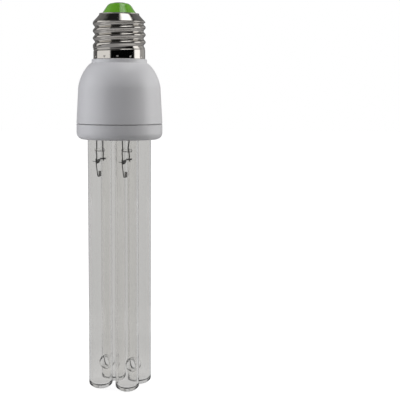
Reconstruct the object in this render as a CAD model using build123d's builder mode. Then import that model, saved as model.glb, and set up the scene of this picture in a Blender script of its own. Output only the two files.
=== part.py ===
from build123d import *
import os
from math import cos, hypot, radians, sin, sqrt, tan

os.makedirs("parts", exist_ok=True)

# Compact ultraviolet lamp: screw cap on top, ballast housing below it, four joined glass tubes hanging down.
# Millimetres. The origin is the centre of the cap's lower rim, and +Z runs up through the centre contact.

# Screw cap
thread_pitch = 3.629
thread_crest_radius = 13.25
thread_depth = 1.0
thread_land = 0.8
groove_floor = 0.9
groove_hip_depth = 0.35
groove_hip_width = 1.75
thread_start_height = 6.75
thread_turns = 3.0
runout_turns = 0.5
runout_lap = 0.02
skirt_radius = 13.0
skirt_height = 5.2
crest_top = 18.2
shoulder_radius = 12.3
shoulder_height = 19.5
lip_radius = 10.1
lip_height = 22.1
rim_radius = 9.8
rim_height = 22.7
cap_sheet = 0.4
stake_count = 12
stake_radius = 0.75
stake_depth = 0.22
stake_height = 1.6
stake_turn = 5.0

# Cap insulator and centre contact
insulator_base_radius = 8.5
insulator_cone_radius = 6.3
insulator_cone_height = 26.1
insulator_top_radius = 4.5
insulator_top_height = 27.6
insulator_plug_height = 2.4
contact_radius = 3.5
contact_flat_radius = 2.0
contact_thickness = 0.5
contact_dome = 0.45
contact_stem_radius = 1.4
contact_bore_radius = 0.55
contact_stem_length = 6.6

# Housing
collar_radius = 13.9
collar_height = 2.1
dome_top_radius = 14.5
dome_side_inset = 1.0
dome_side_depth = 14.2
housing_margin = 5.1
seam_depth = 32.5
housing_wall = 1.8
neck_height = 15.8
neck_bore_radius = 10.3
lower_height = 7.6
lower_fillet = 3.2
plate_thickness = 2.2
spigot_height = 3.0
spigot_wall = 1.2
seam_chamfer = 0.15
lug_count = 4
lug_width = 6.0
lug_height = 1.2
lug_reach = 0.5
post_radius = 1.5
post_inset = 1.35
post_turn = -12
socket_wall = 0.9
socket_height = 2.0
cement_height = 0.9

# Glass tubes
tube_radius = 6.0
tube_wall = 1.0
tube_pitch = 15.0
layout_turn = 19.3
tube_tip_depth = 168.6
tip_dome = 3.4
tip_thickness = 1.9
bridge_radius = 3.95
bridge_wall = 1.05
tip_bridge_rise = 12.2
base_bridge_drop = 4.4
base_bridge_gap = 0.42
pinch_width = 9.4
pinch_thickness = 2.6
pinch_height = 5.6
pinch_corner = 0.85
exhaust_radius = 1.5
exhaust_length = 3.2

# Electrode mounts
lead_radius = 0.3
lead_spacing = 3.4
lead_kink_depth = 46.4
lead_kink = 0.25
lead_kink_length = 1.4
short_lead_depth = 50.8
long_lead_depth = 52.1
coil_radius = 0.55
coil_pitch = 0.62
coil_wire = 0.22
coil_overhang = 0.45
bead_radius = 0.85
bead_depth = 45.4
bead_rounding = 0.68
flag_width = 1.6
flag_height = 2.6
flag_thickness = 0.2
flag_corner = 0.2
flag_wire_radius = 0.2
flag_wire_length = 6.6
flag_wire_lean = 1.1
flag_wire_lap = 1.6

# Ballast board and its parts
board_margin = 1.7
board_thickness = 1.6
board_depth = 15.6
leg_radius = 0.3
leg_tail = 1.0
leg_stub = 0.4
can_place = (-4.2, 0.4)
can_radius = 5.0
can_height = 18.0
can_crimp = 0.45
choke_place = (8.4, 0.4)
core_length = 12.6
core_width = 6.0
core_height = 9.6
core_side_limb = 2.0
core_middle_limb = 2.8
core_chamfer = 0.25
bobbin_wall = 0.6
bobbin_flange = 2.5
winding_build = 1.8
winding_side_build = 1.25
toroid_place = (-4.3, -11.9)
toroid_radius = 4.5
toroid_bore_radius = 2.3
toroid_height = 3.2
toroid_turns_width = 2.6
toroid_turns_build = 0.5
toroid_winding_angles = (30, 150, 270)
transistor_places = [(8.2, -10.4), (13.0, -8.2)]
transistor_radius = 2.3
transistor_height = 4.5
transistor_stand = 1.5
transistor_leg_pitch = 1.27
transistor_flat = 1.15
main_capacitor_place = (1.0, 11.0)
main_capacitor_size = (10.0, 4.0, 8.0)
film_capacitor_places = [((10.8, 10.2), -45), ((-1.0, 15.3), 0)]
film_capacitor_size = (6.8, 3.2, 6.0)
diode_places = [((-10.6, 4.6), 90), ((-13.6, 4.6), 90), ((-11.4, -8.2), 90), ((-14.3, -6.2), 90)]
diode_body = (1.3, 5.0)
diac_place = ((-7.0, 8.4), 135)
diac_body = (0.95, 3.6)
resistor_places = [((4.5, -14.8), 0), ((15.9, 3.6), 90), ((15.9, -3.6), 90)]
resistor_body = (0.95, 3.4)
thermistor_place = ((5.0, 15.3), -18)
thermistor_radius = 2.3
thermistor_thickness = 1.8
thermistor_rounding = 0.45
fuse_place = (1.5, 4.0)
fuse_height = 6.8
fuse_body = (1.6, 7.0)
fuse_rounding = 0.4
fuse_wire_bends = (1.0, 4.0)
hookup_radius = 0.55
neutral_place = (-7.6, 13.0)
neutral_turn = 120
neutral_rise = 7.0
neutral_clear = 0.6
neutral_over = 2.2
live_aside = 2.2
live_bends = (9.0, 4.0)

# Clearances
snap_gap = 0.2
neck_gap = 0.1
glass_gap = 0.25
seal_gap = 0.02
touch_gap = 0.03
hole_gap = 0.1

# Sizes that follow from those above: the housing encloses the tubes, and the board sits in the housing
tube_ring_radius = tube_pitch / sqrt(2)
seam_radius = tube_ring_radius + tube_radius + housing_margin
dome_side_radius = seam_radius - dome_side_inset
board_radius = seam_radius - housing_wall - board_margin
spigot_radius = seam_radius - housing_wall - snap_gap
cup_radius = spigot_radius - spigot_wall
post_ring_radius = cup_radius - post_inset

# Heights that follow from the sizes above
board_top = -board_depth
thread_root_radius = thread_crest_radius - thread_depth
shell_bore_radius = thread_root_radius - cap_sheet
bottom_depth = seam_depth + lower_height
plate_top_depth = bottom_depth - plate_thickness
board_bottom_depth = board_depth + board_thickness
cement_depth = plate_top_depth - socket_height - touch_gap
tip_bridge_depth = tube_tip_depth - tip_bridge_rise
base_bridge_depth = cement_depth - cement_height - base_bridge_gap - bridge_radius
tube_base_depth = base_bridge_depth - base_bridge_drop
pinch_top_depth = tube_base_depth - pinch_height


def save(piece, label):
    """Name a finished piece and write it to its own file."""
    piece.part.label = label
    export_step(piece.part, f"parts/{label}.step")


def ring_point(radius, angle):
    """Place at a radius and an angle about the lamp's axis."""
    return (radius * cos(radians(angle)), radius * sin(radians(angle)))


# The four tubes stand on a square that is turned about the axis.
right_tube, rear_tube, left_tube, front_tube = [
    ring_point(tube_ring_radius, layout_turn + 90 * quarter) for quarter in range(4)
]
tube_places = [right_tube, rear_tube, left_tube, front_tube]
electrode_places = [left_tube, front_tube]
mount_angle = layout_turn - 45

# Screw shell: a rolled sheet cap, revolved at the thread's crest before the groove is taken out
with BuildPart() as shell_blank:
    with BuildSketch(Plane.XZ):
        with BuildLine():
            Polyline(
                (skirt_radius, 0),
                (skirt_radius, skirt_height),
                (thread_crest_radius, skirt_height + cap_sheet),
                (thread_crest_radius, crest_top),
                (shoulder_radius, shoulder_height),
                (lip_radius, lip_height),
                (lip_radius, (lip_height + rim_height) / 2),
                (rim_radius, rim_height),
                (rim_radius - cap_sheet, rim_height),
                (rim_radius - cap_sheet, lip_height),
                (shell_bore_radius, crest_top),
                (shell_bore_radius, skirt_height + cap_sheet),
                (skirt_radius - cap_sheet, skirt_height),
                (skirt_radius - cap_sheet, 0),
                close=True,
            )
        make_face()
    revolve(axis=Axis.Z)

# Section of the groove between two turns of the thread, drawn from its floor outward
groove_mouth = thread_pitch - thread_land
groove_reach = thread_depth + cap_sheet / 2
groove_outline = [
    (0, groove_floor / 2),
    (groove_hip_depth, groove_hip_width / 2),
    (groove_reach, groove_mouth / 2),
    (groove_reach, -groove_mouth / 2),
    (groove_hip_depth, -groove_hip_width / 2),
    (0, -groove_floor / 2),
]

# Full thread: the section rides up a right-handed helix
full_path = Helix(thread_pitch, thread_pitch * thread_turns, thread_root_radius)
with BuildPart() as full_groove:
    with BuildSketch(Plane(origin=full_path @ 0, x_dir=(1, 0, 0), z_dir=full_path % 0)):
        with BuildLine():
            Polyline(groove_outline, close=True)
        make_face()
    sweep(path=full_path, is_frenet=True)

# Run-out: a wider helix off centre touches the full thread at one side and has left the wall at the other
runout_path = Helix(
    thread_pitch,
    thread_pitch * (runout_turns + runout_lap),
    thread_root_radius + groove_reach / 2,
)
with BuildPart() as runout_groove:
    with BuildSketch(Plane(origin=runout_path @ 0, x_dir=(1, 0, 0), z_dir=runout_path % 0)):
        with BuildLine():
            Polyline(groove_outline, close=True)
        make_face()
    sweep(path=runout_path, is_frenet=True)

full_start = Location((0, 0, thread_start_height))
lower_start = Location(
    (-groove_reach / 2, 0, thread_start_height - thread_pitch * runout_turns),
    (0, 0, -360 * runout_turns),
)
upper_turn = 360 * (thread_turns - runout_lap)
upper_x, upper_y = ring_point(-groove_reach / 2, upper_turn)
upper_start = Location(
    (upper_x, upper_y, thread_start_height + thread_pitch * (thread_turns - runout_lap)),
    (0, 0, upper_turn),
)

with BuildPart() as screw_shell:
    add(shell_blank.part)
    add(full_groove.part.moved(full_start), mode=Mode.SUBTRACT)
    add(runout_groove.part.moved(lower_start), mode=Mode.SUBTRACT)
    add(runout_groove.part.moved(upper_start), mode=Mode.SUBTRACT)
    # Punch dimples that stake the skirt to the neck
    with Locations((0, 0, stake_height)):
        with PolarLocations(skirt_radius + stake_radius - stake_depth, stake_count, start_angle=stake_turn):
            Sphere(stake_radius, mode=Mode.SUBTRACT)
save(screw_shell, "screw_shell")

# Cap insulator: a glass plug that fills the shell's top, with a central hole for the contact
with BuildPart() as cap_insulator:
    plug_radius = rim_radius - cap_sheet - hole_gap
    with BuildSketch(Plane.XZ):
        with BuildLine():
            foot = Polyline(
                (contact_stem_radius + hole_gap, rim_height - insulator_plug_height),
                (plug_radius, rim_height - insulator_plug_height),
                (plug_radius, rim_height - hole_gap),
                (insulator_base_radius, rim_height + hole_gap),
                (insulator_cone_radius, insulator_cone_height),
            )
            crown = TangentArc(
                foot @ 1,
                (insulator_top_radius, insulator_top_height),
                tangent=(insulator_cone_radius - insulator_base_radius, insulator_cone_height - rim_height),
            )
            Polyline(
                crown @ 1,
                (contact_radius + hole_gap, insulator_top_height),
                (contact_radius + hole_gap, insulator_top_height - contact_thickness),
                (contact_stem_radius + hole_gap, insulator_top_height - contact_thickness),
                foot @ 0,
            )
        make_face()
    revolve(axis=Axis.Z)
save(cap_insulator, "cap_insulator")

# Centre contact: a disc with a flat top, a rounded edge and a hollow stem that takes the live wire
with BuildPart() as centre_contact:
    contact_floor = insulator_top_height - contact_thickness + touch_gap
    contact_edge = contact_floor + contact_thickness
    with BuildSketch(Plane.XZ):
        with BuildLine():
            contact_top = contact_edge + contact_dome
            crown = TangentArc((contact_flat_radius, contact_top), (contact_radius, contact_edge), tangent=(1, 0))
            Polyline(
                crown @ 0,
                (0, contact_top),
                (0, contact_floor),
                (contact_bore_radius, contact_floor),
                (contact_bore_radius, contact_floor - contact_stem_length),
                (contact_stem_radius, contact_floor - contact_stem_length),
                (contact_stem_radius, contact_floor),
                (contact_radius, contact_floor),
                crown @ 1,
            )
        make_face()
    revolve(axis=Axis.Z)
save(centre_contact, "centre_contact")

# Upper housing: neck inside the shell, collar below the rim and a bell over the ballast
with BuildPart() as upper_housing:
    neck_radius = shell_bore_radius - neck_gap
    neck_foot_radius = skirt_radius - cap_sheet - neck_gap
    draft = (seam_radius - dome_side_radius) / (seam_depth - dome_side_depth)
    with BuildSketch(Plane.XZ):
        with BuildLine():
            side = Line((seam_radius, -seam_depth), (dome_side_radius, -dome_side_depth))
            bell = TangentArc(side @ 1, (dome_top_radius, -collar_height), tangent=side % 1)
            Polyline(
                bell @ 1,
                (collar_radius, -collar_height),
                (collar_radius, -touch_gap),
                (neck_foot_radius, -touch_gap),
                (neck_foot_radius, skirt_height - neck_gap),
                (neck_radius, skirt_height - neck_gap),
                (neck_radius, neck_height),
                (neck_bore_radius, neck_height),
                (neck_bore_radius, -collar_height - housing_wall / 2),
            )
            bell_inside = TangentArc(
                (dome_side_radius - housing_wall, -dome_side_depth),
                (neck_bore_radius, -collar_height - housing_wall / 2),
                tangent=(-draft, 1),
            )
            Polyline(
                bell_inside @ 0,
                (seam_radius - housing_wall, -seam_depth),
                side @ 0,
            )
        make_face()
    revolve(axis=Axis.Z)
    # Pockets inside the wall that the lower housing's lugs snap into
    pocket_radius = seam_radius - housing_wall + lug_reach + snap_gap
    with Locations((0, 0, -seam_depth + spigot_height / 2)):
        with PolarLocations(pocket_radius - housing_wall, lug_count, start_angle=mount_angle):
            Box(
                2 * housing_wall,
                lug_width + 2 * snap_gap,
                lug_height + 2 * snap_gap,
                mode=Mode.SUBTRACT,
            )
    chamfer(upper_housing.edges().group_by(Axis.Z)[0].sort_by(SortBy.LENGTH)[-1:], seam_chamfer)
save(upper_housing, "upper_housing")

# Lower housing: a shallow cup with a spigot, snap lugs, board posts and four tube sockets
with BuildPart() as lower_housing:
    with BuildSketch(Plane.XY.offset(-bottom_depth)):
        Circle(seam_radius)
    extrude(amount=lower_height - touch_gap)
    fillet(lower_housing.edges().group_by(Axis.Z)[0], lower_fillet)
    chamfer(lower_housing.edges().group_by(Axis.Z)[-1], seam_chamfer)
    with BuildSketch(Plane.XY.offset(-seam_depth - touch_gap)):
        Circle(spigot_radius)
    extrude(amount=spigot_height)
    with Locations((0, 0, -seam_depth + spigot_height / 2)):
        with PolarLocations(spigot_radius + lug_reach - spigot_wall / 2, lug_count, start_angle=mount_angle):
            Box(spigot_wall, lug_width, lug_height)
    with BuildSketch(Plane.XY.offset(-plate_top_depth)):
        Circle(cup_radius)
    extrude(amount=lower_height + spigot_height, mode=Mode.SUBTRACT)
    with BuildSketch(Plane.XY.offset(-plate_top_depth)):
        with PolarLocations(post_ring_radius, 4, start_angle=mount_angle + post_turn):
            Circle(post_radius)
    extrude(amount=plate_top_depth - board_bottom_depth - touch_gap)
    with BuildSketch(Plane.XY.offset(-plate_top_depth)):
        with Locations(tube_places):
            Circle(tube_radius + glass_gap + socket_wall)
    extrude(amount=socket_height)
    with BuildSketch(Plane.XY.offset(-bottom_depth)):
        with Locations(tube_places):
            Circle(tube_radius + glass_gap)
    extrude(amount=plate_thickness + socket_height, mode=Mode.SUBTRACT)
save(lower_housing, "lower_housing")

# Cement: one ring round each tube on top of its socket
with BuildPart() as tube_cement:
    with BuildSketch(Plane.XY.offset(-cement_depth)):
        with Locations(tube_places):
            Circle(tube_radius + glass_gap + socket_wall)
            Circle(tube_radius + touch_gap, mode=Mode.SUBTRACT)
    extrude(amount=cement_height)
save(tube_cement, "tube_cement")


def domed_tube(place, radius, base_depth, tip_depth, dome, mode):
    """Closed tube at a place, with a flattened dome at its tip and a rounder one at its base."""
    x, y = place
    with BuildSketch(Plane(origin=(x, y, 0), x_dir=(1, 0, 0), z_dir=(0, -1, 0))) as section:
        with BuildLine():
            tip = EllipticalCenterArc((0, dome - tip_depth), radius, dome, start_angle=270, arc_size=90)
            wall = Line(tip @ 1, (radius, -base_depth - radius))
            base = CenterArc((0, -base_depth - radius), radius, start_angle=0, arc_size=90)
            Line(base @ 1, tip @ 0)
        make_face()
    revolve(section.sketch, axis=Axis((x, y, 0), (0, 0, 1)), mode=mode)


def bridge(first, second, depth, radius, mode):
    """Short cross tube from one tube's axis to the next one's."""
    span = hypot(second[0] - first[0], second[1] - first[1])
    start = Plane(
        origin=(first[0], first[1], -depth),
        x_dir=(0, 0, 1),
        z_dir=(second[0] - first[0], second[1] - first[1], 0),
    )
    with BuildSketch(start) as section:
        Circle(radius)
    extrude(section.sketch, amount=span, mode=mode)


# Glass envelope: four tubes in a chain, blown hollow, with a pinch seal over each electrode
with BuildPart() as glass_envelope:
    for place in tube_places:
        domed_tube(place, tube_radius, tube_base_depth, tube_tip_depth, tip_dome, Mode.ADD)
    bridge(left_tube, rear_tube, tip_bridge_depth, bridge_radius, Mode.ADD)
    bridge(right_tube, front_tube, tip_bridge_depth, bridge_radius, Mode.ADD)
    bridge(rear_tube, right_tube, base_bridge_depth, bridge_radius, Mode.ADD)
    with BuildSketch(Plane.XY.offset(-tube_base_depth - tube_radius)):
        with Locations(*[Location((x, y), mount_angle) for x, y in electrode_places]):
            RectangleRounded(pinch_width, pinch_thickness, pinch_corner)
    extrude(amount=pinch_height + tube_radius)
    with BuildSketch(Plane.XY.offset(-tube_base_depth - tube_radius)):
        with Locations(rear_tube):
            Circle(exhaust_radius)
    extrude(amount=exhaust_length + tube_radius)
    for place in tube_places:
        domed_tube(
            place,
            tube_radius - tube_wall,
            tube_base_depth + tube_wall,
            tube_tip_depth - tip_thickness,
            tip_dome - tube_wall,
            Mode.SUBTRACT,
        )
    bridge(left_tube, rear_tube, tip_bridge_depth, bridge_radius - bridge_wall, Mode.SUBTRACT)
    bridge(right_tube, front_tube, tip_bridge_depth, bridge_radius - bridge_wall, Mode.SUBTRACT)
    bridge(rear_tube, right_tube, base_bridge_depth, bridge_radius - bridge_wall, Mode.SUBTRACT)
    with BuildSketch(Plane.XY.offset(-pinch_top_depth)):
        with Locations(*[Location((x, y), mount_angle) for x, y in electrode_places]):
            with Locations((-lead_spacing / 2, 0), (lead_spacing / 2, 0)):
                Circle(lead_radius + seal_gap)
    extrude(amount=-pinch_height - tube_radius, mode=Mode.SUBTRACT)
save(glass_envelope, "glass_envelope")


def mount_point(place, across, out, depth):
    """Point in an electrode's own frame: across its mount plane, out of that plane, and below the rim."""
    x, y = place
    turn = radians(mount_angle)
    return (
        x + across * cos(turn) - out * sin(turn),
        y + across * sin(turn) + out * cos(turn),
        -depth,
    )


def bend_radii(points):
    """Largest bend at each inner point of a route that its two runs leave room for."""
    radii = []
    for before, corner, after in zip(points, points[1:], points[2:]):
        first = Vector(*corner) - Vector(*before)
        second = Vector(*after) - Vector(*corner)
        turn = radians(first.get_angle(second))
        radii.append(0.45 * min(first.length, second.length) / tan(turn / 2))
    return radii


def swept_wire(route, radius):
    """Round wire along a route."""
    with BuildPart() as wire:
        with BuildLine() as path:
            FilletPolyline(*route, radius=bend_radii(route))
        with BuildSketch(Plane(origin=path.line @ 0, z_dir=path.line % 0)):
            Circle(radius)
        sweep(path=path.line)
    return wire


# Lead-in wires: from the board down through the pinch seal to the coil, with a small kink below the bead
lead_top_depth = board_depth - 2 * lead_radius
lead_tips = {-1: long_lead_depth, 1: short_lead_depth}
lead_number = 0
for place in electrode_places:
    for side, tip_depth in lead_tips.items():
        lead_number += 1
        straight = side * lead_spacing / 2
        kinked = straight + side * lead_kink
        lead = swept_wire(
            [
                mount_point(place, straight, 0, lead_top_depth),
                mount_point(place, straight, 0, lead_kink_depth),
                mount_point(place, kinked, 0, lead_kink_depth + lead_kink_length),
                mount_point(place, kinked, 0, tip_depth),
            ],
            lead_radius,
        )
        save(lead, f"lead_wire_{lead_number}")

# Beads: a drop of glass that ties both leads of a mount together
for number, place in enumerate(electrode_places, 1):
    with BuildPart() as glass_bead:
        bead_half = lead_spacing / 2 + lead_radius + bead_radius
        left_end = mount_point(place, -bead_half, 0, bead_depth)
        bead_plane = Plane(origin=left_end, x_dir=(0, 0, 1), z_dir=Vector(*mount_point((0, 0), 1, 0, 0)))
        with BuildSketch(bead_plane):
            Circle(bead_radius)
        extrude(amount=2 * bead_half)
        fillet(glass_bead.edges().filter_by(GeomType.CIRCLE), bead_rounding)
        with BuildSketch(Plane.XY.offset(-bead_depth - bead_radius)):
            for side in lead_tips:
                hole_x, hole_y, _ = mount_point(place, side * lead_spacing / 2, 0, 0)
                with Locations((hole_x, hole_y)):
                    Circle(lead_radius + seal_gap)
        extrude(amount=2 * bead_radius, mode=Mode.SUBTRACT)
    save(glass_bead, f"glass_bead_{number}")

# Coils: a tungsten helix hung across the two lead tips, touching their sides
coil_out = lead_radius + coil_radius + coil_wire / 2 + touch_gap
coil_reach = lead_spacing / 2 + lead_kink + coil_overhang
for number, place in enumerate(electrode_places, 1):
    coil_start = Vector(*mount_point(place, -coil_reach, coil_out, long_lead_depth - lead_radius))
    coil_end = Vector(*mount_point(place, coil_reach, coil_out, short_lead_depth - lead_radius))
    coil_run = coil_end - coil_start
    coil_path = Helix(coil_pitch, coil_run.length, coil_radius)
    with BuildPart() as coil_turns:
        with BuildSketch(Plane(origin=coil_path @ 0, x_dir=(1, 0, 0), z_dir=coil_path % 0)):
            Rectangle(coil_wire, coil_wire)
        sweep(path=coil_path, is_frenet=True)
    with BuildPart() as filament_coil:
        add(Plane(origin=coil_start, z_dir=coil_run).location * coil_turns.part)
    save(filament_coil, f"filament_coil_{number}")

# Amalgam flags: a small plate on a wire that hangs from the longer lead
for number, place in enumerate(electrode_places, 1):
    flag_across = -lead_spacing / 2 - lead_kink
    flag_out = -lead_radius - flag_wire_radius - touch_gap
    wire_top_depth = long_lead_depth - flag_wire_lap
    bend_depth = long_lead_depth + flag_wire_lap
    wire_end_depth = long_lead_depth + flag_wire_length
    flag_wire = swept_wire(
        [
            mount_point(place, flag_across, flag_out, wire_top_depth),
            mount_point(place, flag_across, flag_out, bend_depth),
            mount_point(place, flag_across + flag_wire_lean, flag_out, wire_end_depth),
        ],
        flag_wire_radius,
    )
    save(flag_wire, f"flag_wire_{number}")
    plate_out = flag_out - flag_wire_radius - flag_thickness / 2 - touch_gap
    plate_across = flag_across + flag_wire_lean + flag_width / 2 - flag_wire_radius
    plate_centre = mount_point(place, plate_across, plate_out, wire_end_depth - flag_height / 2 + flag_wire_radius)
    with BuildPart() as amalgam_flag:
        plate_normal = Vector(*mount_point((0, 0), 0, 1, 0))
        with BuildSketch(Plane(origin=plate_centre, x_dir=(0, 0, 1), z_dir=plate_normal)):
            RectangleRounded(flag_height, flag_width, flag_corner)
        extrude(amount=flag_thickness / 2, both=True)
    save(amalgam_flag, f"amalgam_flag_{number}")


def legs(places):
    """Wire legs that pass through the board under a part's body."""
    with BuildSketch(Plane.XY.offset(board_top - board_thickness - leg_tail)) as feet:
        with Locations(places):
            Circle(leg_radius)
    extrude(feet.sketch, amount=board_thickness + leg_tail + 2 * leg_radius)


def pair_about(place, spacing, turn=0):
    """Two places at equal distances either side of a centre."""
    x, y = place
    step_x, step_y = ring_point(spacing / 2, turn)
    return [(x - step_x, y - step_y), (x + step_x, y + step_y)]


def axial_span(body):
    """Distance between the two legs of an axial part."""
    return body[1] + 2 * leg_stub + 4 * leg_radius


def axial_part(place, turn, body):
    """Barrel lying on the board, with one wire bent down through the board at each end."""
    radius, length = body
    height = board_top + radius + touch_gap
    foot = board_top - board_thickness - leg_tail
    first, second = pair_about(place, axial_span(body), turn)
    along = ring_point(1, turn)
    barrel_start = Plane(
        origin=(place[0] - along[0] * length / 2, place[1] - along[1] * length / 2, height),
        x_dir=(0, 0, 1),
        z_dir=(*along, 0),
    )
    with BuildSketch(barrel_start) as barrel:
        Circle(radius)
    extrude(barrel.sketch, amount=length)
    with BuildLine() as route:
        corners = [(*first, foot), (*first, height), (*second, height), (*second, foot)]
        FilletPolyline(*corners, radius=2 * leg_radius)
    with BuildSketch(Plane(origin=(*first, foot))) as wire:
        Circle(leg_radius)
    sweep(wire.sketch, path=route.line)


# Smoothing capacitor: a standing can with a crimp ring and a rounded top
can_legs = pair_about(can_place, can_radius, 90)
with BuildPart() as smoothing_capacitor:
    with BuildSketch(Plane.XY.offset(board_top + touch_gap)):
        with Locations(can_place):
            Circle(can_radius)
    extrude(amount=can_height)
    fillet(smoothing_capacitor.edges().group_by(Axis.Z)[-1], can_crimp)
    with BuildSketch(Plane.XY.offset(board_top + 4 * can_crimp)):
        with Locations(can_place):
            Circle(can_radius + can_crimp)
            Circle(can_radius - can_crimp, mode=Mode.SUBTRACT)
    extrude(amount=can_crimp, mode=Mode.SUBTRACT)
    legs(can_legs)
save(smoothing_capacitor, "smoothing_capacitor")

# Choke: a ferrite core of two joined E shapes, a flanged bobbin on its middle limb, and the winding
window_height = core_height - 2 * core_side_limb
window_width = (core_length - 2 * core_side_limb - core_middle_limb) / 2
window_offset = (core_middle_limb + window_width) / 2
with BuildPart() as choke_core:
    with BuildSketch(Plane.XY.offset(board_top + touch_gap)):
        with Locations(choke_place):
            Rectangle(core_length, core_width)
    extrude(amount=core_height)
    chamfer(choke_core.edges().filter_by(Axis.Z), core_chamfer)
    window_centre = (*choke_place, board_top + touch_gap + core_height / 2)
    with BuildSketch(Plane(origin=window_centre, x_dir=(1, 0, 0), z_dir=(0, -1, 0))):
        with Locations((-window_offset, 0), (window_offset, 0)):
            Rectangle(window_width, window_height)
    extrude(amount=core_width, both=True, mode=Mode.SUBTRACT)
save(choke_core, "choke_core")

bobbin_inside = (core_middle_limb + 2 * hole_gap, core_width + 2 * hole_gap)
bobbin_outside = (bobbin_inside[0] + 2 * bobbin_wall, bobbin_inside[1] + 2 * bobbin_wall)
flange_size = (core_middle_limb + 2 * bobbin_flange, core_width + 2 * bobbin_flange)
flange_low = board_top + touch_gap + core_side_limb + hole_gap
flange_gap = window_height - 2 * hole_gap - 2 * bobbin_wall
bobbin_legs = [
    (choke_place[0] + side * flange_size[0] / 3, choke_place[1] + end * (flange_size[1] / 2 - 2 * leg_radius))
    for side in (-1, 1)
    for end in (-1, 1)
]
with BuildPart() as choke_bobbin:
    with BuildSketch(Plane.XY.offset(flange_low)):
        with Locations(choke_place):
            Rectangle(*bobbin_outside)
    extrude(amount=flange_gap + 2 * bobbin_wall)
    for level in (flange_low, flange_low + bobbin_wall + flange_gap):
        with BuildSketch(Plane.XY.offset(level)):
            with Locations(choke_place):
                RectangleRounded(*flange_size, bobbin_wall)
        extrude(amount=bobbin_wall)
    with BuildSketch(Plane.XY.offset(flange_low)):
        with Locations(choke_place):
            Rectangle(*bobbin_inside)
    extrude(amount=core_height, mode=Mode.SUBTRACT)
    with BuildSketch(Plane.XY.offset(board_top - board_thickness - leg_tail)):
        with Locations(bobbin_legs):
            Circle(leg_radius)
    extrude(amount=board_thickness + leg_tail + flange_low - board_top + bobbin_wall / 2)
save(choke_bobbin, "choke_bobbin")

with BuildPart() as choke_winding:
    with BuildSketch(Plane.XY.offset(flange_low + bobbin_wall + touch_gap)):
        with Locations(choke_place):
            RectangleRounded(
                bobbin_outside[0] + 2 * winding_side_build,
                bobbin_outside[1] + 2 * winding_build,
                winding_build,
            )
            Rectangle(bobbin_outside[0] + touch_gap, bobbin_outside[1] + touch_gap, mode=Mode.SUBTRACT)
    extrude(amount=flange_gap - 2 * touch_gap)
save(choke_winding, "choke_winding")

# Drive transformer: a ferrite ring lifted clear of the board by its three windings
toroid_low = board_top + toroid_turns_build + 2 * touch_gap
toroid_middle = (toroid_radius + toroid_bore_radius) / 2
toroid_width = toroid_radius - toroid_bore_radius
with BuildPart() as toroid_core:
    with BuildSketch(Plane.XY.offset(toroid_low)):
        with Locations(toroid_place):
            Circle(toroid_radius)
            Circle(toroid_bore_radius, mode=Mode.SUBTRACT)
    extrude(amount=toroid_height)
save(toroid_core, "toroid_core")

with BuildPart() as toroid_windings:
    for angle in toroid_winding_angles:
        step_x, step_y = ring_point(toroid_middle, angle)
        centre = (toroid_place[0] + step_x, toroid_place[1] + step_y, toroid_low + toroid_height / 2)
        along = ring_point(1, angle + 90)
        sagitta = toroid_bore_radius - sqrt(toroid_bore_radius**2 - (toroid_turns_width / 2) ** 2)
        slot = 2 * (sagitta + touch_gap)
        with BuildSketch(Plane(origin=centre, x_dir=(0, 0, 1), z_dir=(*along, 0))):
            RectangleRounded(
                toroid_height + 2 * toroid_turns_build,
                toroid_width + slot + 2 * toroid_turns_build,
                toroid_turns_build,
            )
            Rectangle(toroid_height + 2 * touch_gap, toroid_width + slot, mode=Mode.SUBTRACT)
        extrude(amount=toroid_turns_width / 2, both=True)
save(toroid_windings, "toroid_windings")

# Transistors: two small D-shaped bodies on three legs each
transistor_legs = [
    (x + step * transistor_leg_pitch, y) for x, y in transistor_places for step in (-1, 0, 1)
]
with BuildPart() as transistors:
    with BuildSketch(Plane.XY.offset(board_top + transistor_stand)):
        with Locations(transistor_places):
            Circle(transistor_radius)
        with Locations([(x, y - transistor_radius - transistor_flat) for x, y in transistor_places]):
            Rectangle(2 * transistor_radius, 2 * transistor_radius, mode=Mode.SUBTRACT)
    extrude(amount=transistor_height)
    with BuildSketch(Plane.XY.offset(board_top - board_thickness - leg_tail)):
        with Locations(transistor_legs):
            Circle(leg_radius)
    extrude(amount=board_thickness + leg_tail + transistor_stand + leg_radius)
save(transistors, "transistors")


def box_capacitor(place, turn, size):
    """Dipped film capacitor: a rounded block on two legs."""
    x, y = place
    length, width, height = size
    base = Plane(origin=(x, y, board_top + touch_gap), x_dir=(*ring_point(1, turn), 0))
    with BuildSketch(base) as footprint:
        RectangleRounded(length, width, width / 3)
    extrude(footprint.sketch, amount=height)
    legs(pair_about(place, length / 2, turn))


# Resonance capacitor between the two electrodes, and two smaller film capacitors
with BuildPart() as resonance_capacitor:
    box_capacitor(main_capacitor_place, 0, main_capacitor_size)
save(resonance_capacitor, "resonance_capacitor")

with BuildPart() as film_capacitors:
    for place, turn in film_capacitor_places:
        box_capacitor(place, turn, film_capacitor_size)
save(film_capacitors, "film_capacitors")

# Rectifier diodes, trigger diode and resistors: barrels lying on the board
with BuildPart() as rectifier_diodes:
    for place, turn in diode_places:
        axial_part(place, turn, diode_body)
save(rectifier_diodes, "rectifier_diodes")

with BuildPart() as trigger_diode:
    axial_part(*diac_place, diac_body)
save(trigger_diode, "trigger_diode")

with BuildPart() as resistors:
    for place, turn in resistor_places:
        axial_part(place, turn, resistor_body)
save(resistors, "resistors")

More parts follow.
